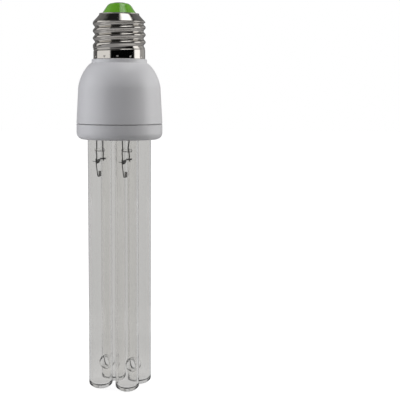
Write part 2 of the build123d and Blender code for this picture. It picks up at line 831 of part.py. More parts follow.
# Thermistor: a coated disc on edge that warms the electrodes before the arc strikes
thermistor_centre, thermistor_turn = thermistor_place
thermistor_legs = pair_about(thermistor_centre, thermistor_radius, thermistor_turn)
with BuildPart() as thermistor:
    disc_centre = (*thermistor_centre, board_top + thermistor_radius + touch_gap)
    disc_normal = (*ring_point(1, thermistor_turn + 90), 0)
    with BuildSketch(Plane(origin=disc_centre, x_dir=(0, 0, 1), z_dir=disc_normal)):
        Circle(thermistor_radius)
    extrude(amount=thermistor_thickness / 2, both=True)
    fillet(thermistor.edges().filter_by(GeomType.CIRCLE), thermistor_rounding)
    with BuildSketch(Plane.XY.offset(board_top - board_thickness - leg_tail)):
        with Locations(thermistor_legs):
            Circle(leg_radius)
    extrude(amount=board_thickness + leg_tail + thermistor_radius)
save(thermistor, "thermistor")

# Fuse resistor: stands in the neck, and its upper wire runs into the centre contact
fuse_radius, fuse_length = fuse_body
fuse_x, fuse_y = fuse_place
fuse_wire_foot = fuse_height - 2 * hookup_radius
contact_roof = contact_floor - touch_gap
fuse_route = [
    (fuse_x, fuse_y, fuse_wire_foot),
    (fuse_x, fuse_y, fuse_height + fuse_length + fuse_wire_bends[0]),
    (0, 0, fuse_height + fuse_length + fuse_wire_bends[1]),
    (0, 0, contact_roof),
]
with BuildPart() as fuse_resistor:
    with BuildSketch(Plane.XY.offset(fuse_height)):
        with Locations(fuse_place):
            Circle(fuse_radius)
    extrude(amount=fuse_length)
    fillet(fuse_resistor.edges().filter_by(GeomType.CIRCLE), fuse_rounding)
    with BuildLine() as fuse_wire:
        FilletPolyline(*fuse_route, radius=bend_radii(fuse_route))
    with BuildSketch(Plane(origin=fuse_wire.line @ 0)):
        Circle(leg_radius)
    sweep(path=fuse_wire.line)
save(fuse_resistor, "fuse_resistor")

# Live wire: from the board up beside the can to the fuse resistor
live_route = [
    (fuse_x, fuse_y + live_aside, board_top + touch_gap),
    (fuse_x, fuse_y + live_aside, fuse_wire_foot - live_bends[0]),
    (fuse_x, fuse_y, fuse_wire_foot - live_bends[1]),
    (fuse_x, fuse_y, fuse_wire_foot - touch_gap),
]
live_wire = swept_wire(live_route, hookup_radius)
save(live_wire, "live_wire")

# Neutral wire: from the board up the neck, over its top edge and down to the shell's shoulder
neutral_radius = neck_bore_radius - 2 * hookup_radius
neutral_end = shell_bore_radius - hookup_radius - touch_gap
neutral_route = [
    (*neutral_place, board_top + touch_gap),
    (*neutral_place, board_top + neutral_rise),
    (*ring_point(neutral_radius, neutral_turn), -collar_height - housing_wall),
    (*ring_point(neutral_radius, neutral_turn), neck_height + neutral_clear),
    (*ring_point(neutral_end, neutral_turn), neck_height + neutral_over),
]
neutral_wire = swept_wire(neutral_route, hookup_radius)
save(neutral_wire, "neutral_wire")

# Circuit board: a disc on the housing's posts, drilled for every leg and lead-in wire
board_holes = [
    *can_legs,
    *bobbin_legs,
    *transistor_legs,
    *thermistor_legs,
    *pair_about(main_capacitor_place, main_capacitor_size[0] / 2),
    *[
        hole
        for place, turn in film_capacitor_places
        for hole in pair_about(place, film_capacitor_size[0] / 2, turn)
    ],
    *[hole for place, turn in diode_places for hole in pair_about(place, axial_span(diode_body), turn)],
    *pair_about(diac_place[0], axial_span(diac_body), diac_place[1]),
    *[hole for place, turn in resistor_places for hole in pair_about(place, axial_span(resistor_body), turn)],
]
lead_holes = [
    mount_point(place, side * lead_spacing / 2, 0, 0)[:2] for place in electrode_places for side in lead_tips
]
with BuildPart() as circuit_board:
    with BuildSketch(Plane.XY.offset(board_top - board_thickness)):
        Circle(board_radius)
        with Locations(board_holes + lead_holes):
            Circle(leg_radius + hole_gap, mode=Mode.SUBTRACT)
    extrude(amount=board_thickness)
save(circuit_board, "circuit_board")

for name, route in {"live wire": live_route, "neutral wire": neutral_route, "fuse wire": fuse_route}.items():
    print(name, "bend radii in mm:", [round(radius, 1) for radius in bend_radii(route)])
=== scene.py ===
import math

import bmesh
import bpy
import numpy as np
from mathutils import Matrix, Vector


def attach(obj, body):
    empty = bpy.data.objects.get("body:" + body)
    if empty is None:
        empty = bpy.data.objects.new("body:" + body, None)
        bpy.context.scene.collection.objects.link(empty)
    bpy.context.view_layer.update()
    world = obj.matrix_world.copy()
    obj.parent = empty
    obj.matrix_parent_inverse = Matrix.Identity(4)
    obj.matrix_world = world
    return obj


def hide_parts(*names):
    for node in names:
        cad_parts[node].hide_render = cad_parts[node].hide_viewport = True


# A compact ultraviolet lamp: metres, Z up, origin at the centre of the cap's lower rim.

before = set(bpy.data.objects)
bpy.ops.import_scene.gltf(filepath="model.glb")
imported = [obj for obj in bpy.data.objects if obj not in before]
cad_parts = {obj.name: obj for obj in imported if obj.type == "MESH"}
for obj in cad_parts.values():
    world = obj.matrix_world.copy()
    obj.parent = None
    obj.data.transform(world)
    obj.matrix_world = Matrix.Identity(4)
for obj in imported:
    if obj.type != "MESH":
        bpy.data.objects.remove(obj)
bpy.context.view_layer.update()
print("stage: frame loaded,", len(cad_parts), "nodes")

mm = 0.001
sharpAngle = 38        # degrees between two faces from which their edge shows


# Helpers for surfaces


def smooth(x):
    x = np.clip(x, 0, 1)
    return x * x * (3 - 2 * x)


def gridFaces(rows, cols, closeRows=False):
    # quads of a grid whose columns always close on themselves
    r = np.arange(rows if closeRows else rows - 1)[:, None]
    c = np.arange(cols)[None, :]
    a = r * cols + c
    b = r * cols + (c + 1) % cols
    up = ((r + 1) % rows) * cols
    return np.stack([a, b, up + (c + 1) % cols, up + c], axis=-1).reshape(-1, 4)


def fullTurn(count):
    return np.arange(count) * 2 * np.pi / count


def buildMesh(name, verts, faces, weld=1e-7):
    mesh = bpy.data.meshes.new(name)
    used, faces = np.unique(faces, return_inverse=True)
    verts = np.asarray(verts, float).reshape(-1, 3)[used]
    mesh.from_pydata(verts, [], faces.reshape(-1, 4))
    bm = bmesh.new()
    bm.from_mesh(mesh)
    bmesh.ops.remove_doubles(bm, verts=bm.verts, dist=weld)
    bmesh.ops.dissolve_degenerate(bm, edges=bm.edges, dist=weld)
    bm.to_mesh(mesh)
    bm.free()
    mesh.polygons.foreach_set("use_smooth", np.ones(len(mesh.polygons), bool))
    mesh.set_sharp_from_angle(angle=math.radians(sharpAngle))
    obj = bpy.data.objects.new(name, mesh)
    bpy.context.scene.collection.objects.link(obj)
    return obj


def place(obj, material, slot, *nodes):
    obj.data.materials.append(material)
    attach(obj, "root")
    if nodes:
        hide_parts(*nodes)


# Shader node groups


def newGroup(name, inputs, outputs):
    group = bpy.data.node_groups.new(name, "ShaderNodeTree")
    for label, kind, value in inputs:
        socket = group.interface.new_socket(label, in_out="INPUT", socket_type=kind)
        socket.default_value = value
    for label, kind in outputs:
        group.interface.new_socket(label, in_out="OUTPUT", socket_type=kind)
    return group, group.nodes.new("NodeGroupInput"), group.nodes.new("NodeGroupOutput")


def mathNode(tree, operation, first, second=None, third=None, clamp=False):
    node = tree.nodes.new("ShaderNodeMath")
    node.operation = operation
    node.use_clamp = clamp
    for index, value in enumerate((first, second, third)):
        if value is None:
            continue
        if isinstance(value, (int, float)):
            node.inputs[index].default_value = value
        else:
            tree.links.new(value, node.inputs[index])
    return node.outputs[0]


def makeMottle():
    # soft cloud and fine grain in Object coordinates: colour, roughness and a bump normal
    group, enter, leave = newGroup(
        "mottle",
        [
            ("Base Color", "NodeSocketColor", (0.8, 0.8, 0.8, 1)),
            ("Second Color", "NodeSocketColor", (0.6, 0.6, 0.6, 1)),
            ("Color Share", "NodeSocketFloat", 0.3),
            ("Roughness", "NodeSocketFloat", 0.4),
            ("Roughness Change", "NodeSocketFloat", 0.1),
            ("Cloud Scale", "NodeSocketFloat", 60.0),
            ("Grain Scale", "NodeSocketFloat", 900.0),
            ("Grain Height", "NodeSocketFloat", 0.00002),
        ],
        [("Color", "NodeSocketColor"), ("Roughness", "NodeSocketFloat"), ("Normal", "NodeSocketVector")],
    )
    link = group.links.new
    coord = group.nodes.new("ShaderNodeTexCoord")
    cloud = group.nodes.new("ShaderNodeTexNoise")
    cloud.inputs["Detail"].default_value = 3
    link(coord.outputs["Object"], cloud.inputs["Vector"])
    link(enter.outputs["Cloud Scale"], cloud.inputs["Scale"])
    grain = group.nodes.new("ShaderNodeTexNoise")
    grain.inputs["Detail"].default_value = 4
    link(coord.outputs["Object"], grain.inputs["Vector"])
    link(enter.outputs["Grain Scale"], grain.inputs["Scale"])
    share = mathNode(group, "MULTIPLY", cloud.outputs["Fac"], enter.outputs["Color Share"], clamp=True)
    mix = group.nodes.new("ShaderNodeMix")
    mix.data_type = "RGBA"
    link(share, mix.inputs["Factor"])
    link(enter.outputs["Base Color"], mix.inputs["A"])
    link(enter.outputs["Second Color"], mix.inputs["B"])
    link(mix.outputs["Result"], leave.inputs["Color"])
    swing = mathNode(group, "SUBTRACT", grain.outputs["Fac"], 0.5)
    rough = mathNode(group, "MULTIPLY_ADD", swing, enter.outputs["Roughness Change"],
                     enter.outputs["Roughness"], clamp=True)
    link(rough, leave.inputs["Roughness"])
    bump = group.nodes.new("ShaderNodeBump")
    bump.inputs["Strength"].default_value = 1
    link(enter.outputs["Grain Height"], bump.inputs["Distance"])
    link(grain.outputs["Fac"], bump.inputs["Height"])
    link(bump.outputs["Normal"], leave.inputs["Normal"])
    return group


def makeTurned():
    # fine rings left by rolling or winding, along the object's Z, as a height
    group, enter, leave = newGroup(
        "turnedRings",
        [
            ("Ring Scale", "NodeSocketFloat", 900.0),
            ("Ring Height", "NodeSocketFloat", 0.00001),
            ("Normal", "NodeSocketVector", (0, 0, 0)),
        ],
        [("Normal", "NodeSocketVector"), ("Mask", "NodeSocketFloat")],
    )
    link = group.links.new
    coord = group.nodes.new("ShaderNodeTexCoord")
    squeeze = group.nodes.new("ShaderNodeMapping")
    squeeze.inputs["Scale"].default_value = (0.02, 0.02, 1)        # drawn out round the axis into rings
    link(coord.outputs["Object"], squeeze.inputs["Vector"])
    rings = group.nodes.new("ShaderNodeTexNoise")
    rings.inputs["Detail"].default_value = 2
    link(squeeze.outputs["Vector"], rings.inputs["Vector"])
    link(enter.outputs["Ring Scale"], rings.inputs["Scale"])
    bump = group.nodes.new("ShaderNodeBump")
    bump.inputs["Strength"].default_value = 1
    link(enter.outputs["Ring Height"], bump.inputs["Distance"])
    link(rings.outputs["Fac"], bump.inputs["Height"])
    link(enter.outputs["Normal"], bump.inputs["Normal"])
    link(bump.outputs["Normal"], leave.inputs["Normal"])
    link(rings.outputs["Fac"], leave.inputs["Mask"])
    return group


mottle = makeMottle()
turnedRings = makeTurned()

# One row of settings per slot. Colours are linear; share is how far the second colour comes through.
finishes = {
    "nickel_sheet": dict(color=(0.62, 0.595, 0.56), second=(0.5, 0.47, 0.43), share=0.5, rough=0.07,
                         cloud=90, metallic=1, roughChange=0.05, rings=1200, ringHeight=6e-6),
    "contact_metal": dict(color=(0.55, 0.54, 0.52), second=(0.3, 0.28, 0.25), share=0.6, rough=0.38,
                          cloud=300, metallic=1, roughChange=0.2),
    "green_glass": dict(color=(0.1, 0.34, 0.012), second=(0.22, 0.46, 0.06), share=0.6, rough=0.1, cloud=150,
                        roughChange=0.1, coat=0.6),
    "white_plastic": dict(color=(0.61, 0.608, 0.615), second=(0.57, 0.565, 0.57), share=0.5, rough=0.33,
                          cloud=40, roughChange=0.08, grain=2500, grainHeight=6e-6),
    "clear_glass": dict(color=(0.972, 0.968, 0.958), second=(0.95, 0.945, 0.93), share=0.5, rough=0.0,
                        cloud=30, roughChange=0.02, grain=40, grainHeight=4e-6, transmission=1, ior=1.5),
    "silicone": dict(color=(0.75, 0.74, 0.7), second=(0.6, 0.58, 0.5), share=0.5, rough=0.45, cloud=200),
    "lead_wire": dict(color=(0.06, 0.055, 0.05), second=(0.03, 0.03, 0.03), share=0.7, rough=0.5, cloud=400,
                      metallic=0.6, grainHeight=4e-6),
    "tungsten": dict(color=(0.06, 0.06, 0.065), second=(0.2, 0.19, 0.18), share=0.5, rough=0.5, cloud=900,
                     metallic=0.7, grainHeight=4e-6),
    "amalgam": dict(color=(0.3, 0.29, 0.28), second=(0.1, 0.1, 0.1), share=0.8, rough=0.45, cloud=600,
                    metallic=0.9),
    "board_laminate": dict(color=(0.35, 0.27, 0.12), second=(0.28, 0.2, 0.08), share=0.6, rough=0.5,
                           cloud=200),
    "can_sleeve": dict(color=(0.01, 0.012, 0.02), second=(0.03, 0.03, 0.035), share=0.5, rough=0.35,
                       cloud=200),
    "ferrite": dict(color=(0.03, 0.03, 0.032), second=(0.06, 0.055, 0.05), share=0.6, rough=0.6, cloud=400),
    "bobbin_plastic": dict(color=(0.02, 0.02, 0.02), second=(0.05, 0.05, 0.05), share=0.5, rough=0.45,
                           cloud=200),
    "copper_winding": dict(color=(0.55, 0.2, 0.07), second=(0.35, 0.1, 0.03), share=0.6, rough=0.3,
                           cloud=500, metallic=0.9, rings=3000, ringHeight=4e-5),
    "film_dip": dict(color=(0.25, 0.07, 0.02), second=(0.18, 0.04, 0.01), share=0.6, rough=0.3, cloud=200),
    "epoxy_black": dict(color=(0.02, 0.02, 0.02), second=(0.045, 0.045, 0.045), share=0.6, rough=0.55,
                        cloud=300),
    "resistor_lacquer": dict(color=(0.5, 0.33, 0.16), second=(0.4, 0.25, 0.1), share=0.6, rough=0.4,
                             cloud=300),
    "thermistor_blue": dict(color=(0.03, 0.08, 0.3), second=(0.02, 0.05, 0.2), share=0.6, rough=0.4,
                            cloud=300),
    "fuse_lacquer": dict(color=(0.1, 0.28, 0.12), second=(0.06, 0.18, 0.07), share=0.6, rough=0.4,
                         cloud=300),
    "wire_red": dict(color=(0.45, 0.02, 0.02), second=(0.35, 0.015, 0.015), share=0.5, rough=0.4, cloud=200),
    "wire_white": dict(color=(0.7, 0.7, 0.68), second=(0.6, 0.58, 0.55), share=0.5, rough=0.4, cloud=200),
}


def makeFinish(name, spec):
    material = bpy.data.materials.new("finish_" + name)
    material.use_nodes = True
    tree = material.node_tree
    shader = tree.nodes["Principled BSDF"]
    look = tree.nodes.new("ShaderNodeGroup")
    look.node_tree = mottle
    look.inputs["Base Color"].default_value = (*spec["color"], 1)
    look.inputs["Second Color"].default_value = (*spec["second"], 1)
    look.inputs["Color Share"].default_value = spec["share"]
    look.inputs["Roughness"].default_value = spec["rough"]
    look.inputs["Roughness Change"].default_value = spec.get("roughChange", 0.15)
    look.inputs["Cloud Scale"].default_value = spec["cloud"]
    look.inputs["Grain Scale"].default_value = spec.get("grain", 1500)
    look.inputs["Grain Height"].default_value = spec.get("grainHeight", 1e-5)
    tree.links.new(look.outputs["Color"], shader.inputs["Base Color"])
    tree.links.new(look.outputs["Roughness"], shader.inputs["Roughness"])
    normal = look.outputs["Normal"]
    if "rings" in spec:
        rings = tree.nodes.new("ShaderNodeGroup")
        rings.node_tree = turnedRings
        rings.inputs["Ring Scale"].default_value = spec["rings"]
        rings.inputs["Ring Height"].default_value = spec["ringHeight"]
        tree.links.new(normal, rings.inputs["Normal"])
        normal = rings.outputs["Normal"]
    tree.links.new(normal, shader.inputs["Normal"])
    shader.inputs["Metallic"].default_value = spec.get("metallic", 0)
    shader.inputs["Transmission Weight"].default_value = spec.get("transmission", 0)
    shader.inputs["IOR"].default_value = spec.get("ior", 1.5)
    shader.inputs["Coat Weight"].default_value = spec.get("coat", 0)
    return material


materials = {name: makeFinish(name, spec) for name, spec in finishes.items()}
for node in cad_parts.values():
    slotName = node.material_slots[0].material.name.split(".")[0]
    node.material_slots[0].material = materials[slotName]
print("stage: finishes made,", len(materials))


# Screw shell, in millimetres and degrees like all the pieces below

shell = {
    "pitch": 3.629, "depth": 1.0, "sharpness": 1.15, "threadStart": 6.75, "turns": 3.0, "runout": 0.5,
    "threadTop": 18.4, "topFade": 0.6, "skirtRadius": 13.0, "sheet": 0.4,
    # radius and height of the outline's knots, from the lower rim up to the rolled lip
    "knots": [
        (12.93, 0.0), (13.0, 0.12), (13.0, 4.8), (13.05, 5.3), (13.25, 5.9), (13.25, 17.9),
        (13.05, 18.6), (12.3, 19.45), (11.2, 20.6), (10.35, 21.6), (10.02, 22.05), (9.95, 22.2),
        (10.1, 22.4), (10.05, 22.6), (9.8, 22.7),
    ],
    "creaseHeight": 4.7, "creaseTilt": 0.5, "creaseWidth": 0.27, "creaseDepth": 0.22,
    "stakes": 12, "stakeHeight": 1.05, "stakeRadius": 0.42, "stakeEdge": 1.25, "stakeDepth": 0.22,
    "stakeTurn": 25.6,
    "around": 288, "rows": 190, "innerRows": 60,
}


def shellProfile(s):
    # rows lie evenly along the outline: radius and height read off the straight runs between its knots
    radius, height = np.array(s["knots"]).T
    run = np.r_[0, np.cumsum(np.hypot(np.diff(radius), np.diff(height)))]
    at = np.linspace(0, run[-1], s["rows"])
    return np.interp(at, run, radius), np.interp(at, run, height)


def threadCut(angle, height, s):
    # groove depth: a cosine wave across the pitch, phase = height / pitch - angle / full turn,
    # times a ramp along the helix that fades it in below and out above
    turns = (height - s["threadStart"]) / s["pitch"] - angle / (2 * np.pi)
    wave = 0.5 + 0.5 * np.cos(2 * np.pi * turns)
    along = np.round(turns) + angle / (2 * np.pi)
    ramp = smooth(1 + along / s["runout"]) * smooth(1 + (s["turns"] - along) / s["runout"])
    return s["depth"] * wave ** s["sharpness"] * ramp


def buildShell(s):
    r, z = shellProfile(s)
    a, zz = np.meshgrid(fullTurn(s["around"]), z)
    rr = r[:, None] - threadCut(a, zz, s) * smooth((s["threadTop"] - zz) / s["topFade"])
    # punched dimples: each a round dent, depth falling off with the distance from its centre
    step = 2 * np.pi / s["stakes"]
    off = (a - np.radians(s["stakeTurn"]) + step / 2) % step - step / 2
    away = np.hypot(off * s["skirtRadius"], zz - s["stakeHeight"]) / s["stakeRadius"]
    rr = rr - s["stakeDepth"] * smooth(s["stakeEdge"] - away)
    # rolled crease where the thread starts: a bell-shaped dent round a slightly tilted circle
    crease = (zz - s["creaseHeight"] - s["creaseTilt"] * np.cos(a)) / s["creaseWidth"]
    rr = rr - s["creaseDepth"] * np.exp(-crease**2)
    # the inner side is the outer one moved in by the sheet, along the outline's normal
    inner = np.linspace(s["rows"] - 1, 0, s["innerRows"]).astype(int)
    slopeR, slopeZ = np.gradient(r), np.gradient(z)
    size = np.hypot(slopeR, slopeZ)
    innerR = rr[inner] - s["sheet"] * (slopeZ / size)[inner][:, None]
    innerZ = np.clip(zz[inner] + s["sheet"] * (slopeR / size)[inner][:, None], 0, z[-1])
    allR, allZ, allA = np.vstack([rr, innerR]), np.vstack([zz, innerZ]), np.vstack([a, a[inner]])
    verts = np.stack([allR * np.cos(allA), allR * np.sin(allA), allZ], -1) * mm
    return verts, gridFaces(len(allR), s["around"], closeRows=True)


verts, faces = buildShell(shell)
place(buildMesh("rolledScrewShell", verts, faces), materials["nickel_sheet"], "nickel_sheet", "screw_shell")
print("stage: screw shell,", len(faces), "quads")


# Housing

bell = {
    "seamRadius": 21.707, "seamDepth": 32.5, "seamGap": 0.36, "seamRound": 0.1,
    "seamStep": 0.02, "seamRise": 0.8,
    "sideRadius": 20.707, "sideDepth": 14.2, "topRadius": 14.6, "topDepth": 2.2, "wall": 1.8, "flatten": 0.5,
    "lip": [(0.18, 0.22), (0.0, 0.55)],        # out from the collar and up from the top of the dome
    "collarRadius": 13.9, "collarRound": 0.35, "collarTop": 0.03,
    "neck": [(12.5, -0.03), (12.5, 5.1), (11.75, 5.1), (11.75, 15.8), (10.3, 15.8), (10.3, -3.0)],
    "insideTop": (10.3, -3.2),
    "roundRows": 6, "sideRows": 12, "domeRows": 40, "insideRows": 24, "around": 192,
}


def arcThrough(side, top, count):
    # quarter-like arc that leaves the side point straight up and ends at the top point; its centre is level
    # with the side point
    run, rise = side[0] - top[0], top[1] - side[1]
    size = (run**2 + rise**2) / (2 * run)
    a = np.linspace(0, math.asin(rise / size), count)
    return np.stack([side[0] - size + size * np.cos(a), side[1] + size * np.sin(a)], -1)


def domeArc(b, inset, top, count):
    # the dome's arc, pulled in by half a sine wave that is nothing at either end
    arc = arcThrough((b["sideRadius"] - inset, -b["sideDepth"]), top, count)
    arc[:, 0] -= b["flatten"] * np.sin(np.linspace(0, np.pi, count))
    return arc


def buildBell(b):
    # revolved outline: r and z of the closed section, carried round the axis
    seam = b["seamGap"] - b["seamDepth"]
    bend = np.linspace(0, np.pi / 2, b["roundRows"])
    toEdge, toFace = 1 - np.sin(bend), 1 - np.cos(bend)
    foot = np.stack([b["seamRadius"] - b["seamRound"] * toEdge, seam + b["seamRound"] * toFace], -1)
    side = np.linspace((b["seamRadius"] - b["seamStep"], b["seamRise"] - b["seamDepth"]),
                       (b["sideRadius"], -b["sideDepth"]), b["sideRows"])
    dome = domeArc(b, 0, (b["topRadius"], -b["topDepth"]), b["domeRows"])[1:]
    lip = [(b["collarRadius"] + out, up - b["topDepth"]) for out, up in b["lip"]]
    collar = np.stack([b["collarRadius"] - b["collarRound"] * toFace,
                       -b["collarTop"] - b["collarRound"] * toEdge], -1)
    inside = domeArc(b, b["wall"], b["insideTop"], b["insideRows"])[::-1]
    last = [(b["seamRadius"] - b["wall"], seam)]
    outline = np.vstack([foot, side, dome, lip, collar, b["neck"], inside, last])
    angle = fullTurn(b["around"])
    r = outline[:, :1]
    z = np.repeat(outline[:, 1:], b["around"], axis=1)
    verts = np.stack([r * np.cos(angle), r * np.sin(angle), z], -1) * mm
    return verts, gridFaces(len(outline), b["around"], closeRows=True)


verts, faces = buildBell(bell)
place(buildMesh("bellHousing", verts, faces), materials["white_plastic"], "white_plastic", "upper_housing")
print("stage: housing,", len(faces), "quads")


# Glass tubes

glass = {
    "radius": 6.0, "wall": 1.0, "halfPitch": 7.5, "turn": 19.3, "tip": 168.6, "base": 26.2, "dome": 3.4,
    "tipWall": 1.9, "neckDepth": 156.4, "neckRadius": 3.45, "neckWall": 0.9, "flare": 0.45,
    "innerFlare": 0.25, "baseNeckDepth": 30.6, "crossInset": 5.4,
    "crossColumns": 48, "columns": 96, "bendRows": 18, "straightRows": 12,
    # the window is the square of the grid that is drawn out into a neck: its half width and that of its
    # hole in cells, the shares of the way from hole to edge where neck and flare end, and its reach over
    # the wall
    "window": 20, "hole": 8, "neckShare": 0.2, "flareShare": 0.6, "windowAngle": 75.0, "windowHeight": 7.0,
}


def tubeWall(g, radius, tip, dome, base, neckRadius, flare):
    # one blown tube as rows from its tip to its base, in its own frame: x points at the tube it is joined to
    half = g["window"]
    span = np.arange(-half, half + 1)
    low, high = -g["neckDepth"] - g["windowHeight"], -g["neckDepth"] + g["windowHeight"]
    bend = np.linspace(0, np.pi / 2, g["bendRows"])
    straight = np.linspace(high, -base - radius, g["straightRows"] + 1)[1:]
    rows = np.vstack([
        np.stack([radius * np.sin(bend), dome - tip - dome * np.cos(bend)], -1),
        [(radius, (dome - tip + low) / 2)],
        np.stack([np.full(span.size, radius), np.linspace(low, high, span.size)], -1),
        np.stack([np.full(straight.size, radius), straight], -1),
        np.stack([radius * np.cos(bend[1:]), -base - radius + radius * np.sin(bend[1:])], -1),
    ])
    first = bend.size + 1        # the window's lowest row
    angle = fullTurn(g["columns"])
    x = rows[:, :1] * np.cos(angle)
    y = rows[:, :1] * np.sin(angle)
    z = np.repeat(rows[:, 1:], g["columns"], axis=1)

    # the window round the neck: square rings of the grid, ring number m from the hole's edge out to 1
    v, u = np.meshgrid(span / half, span / half, indexing="ij")
    m = np.maximum(np.abs(u), np.abs(v))
    m[half, half] = 1 / half
    edge = g["hole"] / half
    t = np.clip((m - edge) / (1 - edge), 0, 1)
    wide = np.abs(u) >= np.abs(v)
    neckEnd, flareEnd = g["neckShare"], g["flareShare"]
    with np.errstate(divide="ignore", invalid="ignore"):
        phi = np.where(wide, np.pi / 4 * v / u + np.pi * (u < 0),
                       np.pi / 2 - np.pi / 4 * u / v + np.pi * (v < 0))
    phi[half, half] = 0
    # neck: radius stays, x runs from the plane between the tubes towards the wall
    # flare: quarter circle of radius flare, then the ring spreads over the wall to the window's square edge
    psi = np.clip((t - neckEnd) / (flareEnd - neckEnd), 0, 1) * np.pi / 2
    ring = neckRadius + flare * (1 - np.cos(psi))
    side, rise = ring * np.cos(phi), ring * np.sin(phi)
    wallX = np.sqrt(np.maximum(radius**2 - side**2, 0))
    neckX = wallX + flare * (1 - np.sin(psi))
    neckX = g["halfPitch"] + (neckX - g["halfPitch"]) * np.clip(t / neckEnd, 0, 1)
    spread = np.clip((t - flareEnd) / (1 - flareEnd), 0, 1)
    arc = np.arcsin(np.clip(side / radius, -1, 1))
    arc = (1 - spread) * arc + spread * u / m * np.radians(g["windowAngle"])
    onWall = t > flareEnd
    windowX = np.where(onWall, radius * np.cos(arc), neckX)
    windowY = np.where(onWall, radius * np.sin(arc), side)
    windowZ = np.where(onWall, (1 - spread) * rise + spread * v / m * g["windowHeight"], rise)
    windowZ = windowZ - g["neckDepth"]
    put = np.ix_(first + half + span, span % g["columns"])
    x[put], y[put], z[put] = windowX, windowY, windowZ

    faces = gridFaces(len(rows), g["columns"])
    inside = np.zeros(x.shape, bool)
    inside[put] = m <= edge + 1e-9
    faces = faces[~inside.ravel()[faces].all(axis=1)]
    return np.stack([x, y, z], -1).reshape(-1, 3), faces


def turned(verts, angle, centre):
    c, s = np.cos(angle), np.sin(angle)
    return verts @ np.array([(c, s, 0), (-s, c, 0), (0, 0, 1)]) + (*centre, 0)


def crossTube(g, start, end, depth):
    # plain joining tube, its outline going round outer and inner side: carried from one wall to the other
    away = np.subtract(end, start)
    length = np.hypot(*away)
    along = away / length
    outer, inner = g["neckRadius"], g["neckRadius"] - g["neckWall"]
    near, far = g["crossInset"], length - g["crossInset"]
    outline = np.array([(outer, near), (outer, far), (inner, far), (inner, near)])
    phi = fullTurn(g["crossColumns"])
    side = outline[:, :1] * np.cos(phi)
    rise = outline[:, :1] * np.sin(phi)
    run = np.repeat(outline[:, 1:], phi.size, axis=1)
    x = start[0] + along[0] * run - along[1] * side
    y = start[1] + along[1] * run + along[0] * side
    verts = np.stack([x, y, rise - depth], -1).reshape(-1, 3)
    return verts, gridFaces(len(outline), phi.size, closeRows=True)[:, ::-1]


def buildGlass(g):
    ringRadius = g["halfPitch"] * math.sqrt(2)
    turns = np.radians(g["turn"] + 90 * np.arange(4))
    right, rear, left, front = ringRadius * np.stack([np.cos(turns), np.sin(turns)], -1)
    walls = [
        (g["radius"], g["tip"], g["dome"], g["base"], g["neckRadius"], g["flare"]),
        (g["radius"] - g["wall"], g["tip"] - g["tipWall"], g["dome"] - g["wall"], g["base"] + g["wall"],
         g["neckRadius"] - g["neckWall"], g["innerFlare"]),
    ]
    allVerts, allFaces, count = [], [], 0
    for here, there in ((left, rear), (rear, left), (right, front), (front, right)):
        towards = math.atan2(*(there - here)[::-1])
        for inner, wall in enumerate(walls):
            verts, faces = tubeWall(g, *wall)
            allVerts.append(turned(verts, towards, here))
            allFaces.append((faces[:, ::-1] if inner else faces) + count)
            count += len(verts)
    verts, faces = crossTube(g, rear, right, g["baseNeckDepth"])
    allVerts.append(verts)
    allFaces.append(faces + count)
    places = dict(right=right, rear=rear, left=left, front=front)
    return np.vstack(allVerts) * mm, np.vstack(allFaces), places


verts, faces, tubePlaces = buildGlass(glass)
place(buildMesh("blownTubes", verts, faces), materials["clear_glass"], "clear_glass", "glass_envelope")
print("stage: glass,", len(faces), "quads")


# Electrode mounts. Each hangs in its own frame: x across the two leads, y out of their plane, z as in
# the lamp.

coil = {
    "left": -3.7, "right": 3.5, "out": 0.75, "wire": 0.15, "turns": 7.5, "radius": 0.85, "flatness": 0.6,
    "grip": (-2.1, 0.9), "gripFade": (0.5, 0.9), "loose": 0.25, "tail": 0.06,
    "leftHeight": -51.3, "rightHeight": -49.9, "slope": (-2.5, 2.0), "sag": 0.35, "samples": 460, "sides": 8,
}
clamp = {
    "across": 2.0, "length": 3.2, "radius": 0.26, "out": 0.55, "height": -49.55, "skew": 0.05, "rise": 0.1,
    "samples": 12, "sides": 10,
}
flag = {
    "wire": 0.25, "top": (-1.9, -49.9), "bend": (-1.9, -52.6), "end": (-0.85, -58.6), "out": 0.55,
    "hook": [(0.05, 0, -0.2), (0.9, -0.1, -0.12)],        # its bend and its end, from the wire's end
    "hangSamples": 40, "hookSamples": 10, "sides": 10,
    "gap": 0.38, "width": 1.45, "height": 2.75, "cup": 0.35, "sheet": 0.14, "low": -58.75,
    "columns": 13, "rows": 9,
}
lead = {"radius": 0.3, "top": 15.0, "samples": 380, "even": 9, "sides": 12}
# depth of each lead's tip, and its sideways shift by depth, from the middle of its mount
leadShifts = [
    (52.1, [(15, -1.7), (45.4, -1.7), (46.6, -2.0), (47.8, -1.75), (52.1, -1.8)]),
    (50.8, [(15, 1.7), (44, 1.7), (47.2, 1.95), (48.9, 1.85), (50.8, 2.1)]),
    (52.1, [(15, -1.7), (34, -1.7), (40, -2.5), (43.2, -2.3), (45, -2.25), (47, -2.6),
            (49.5, -2.3), (52.1, -2.35)]),
    (50.8, [(15, 1.7), (34, 1.7), (40.5, 1.35), (42, 1.15), (44, 0.75), (46, 1.2), (48.2, 1.5), (49, 1.35),
            (50.8, 1.7)]),
]
mountShift = (0.0, -0.5)        # of everything but the leads, one value per mount


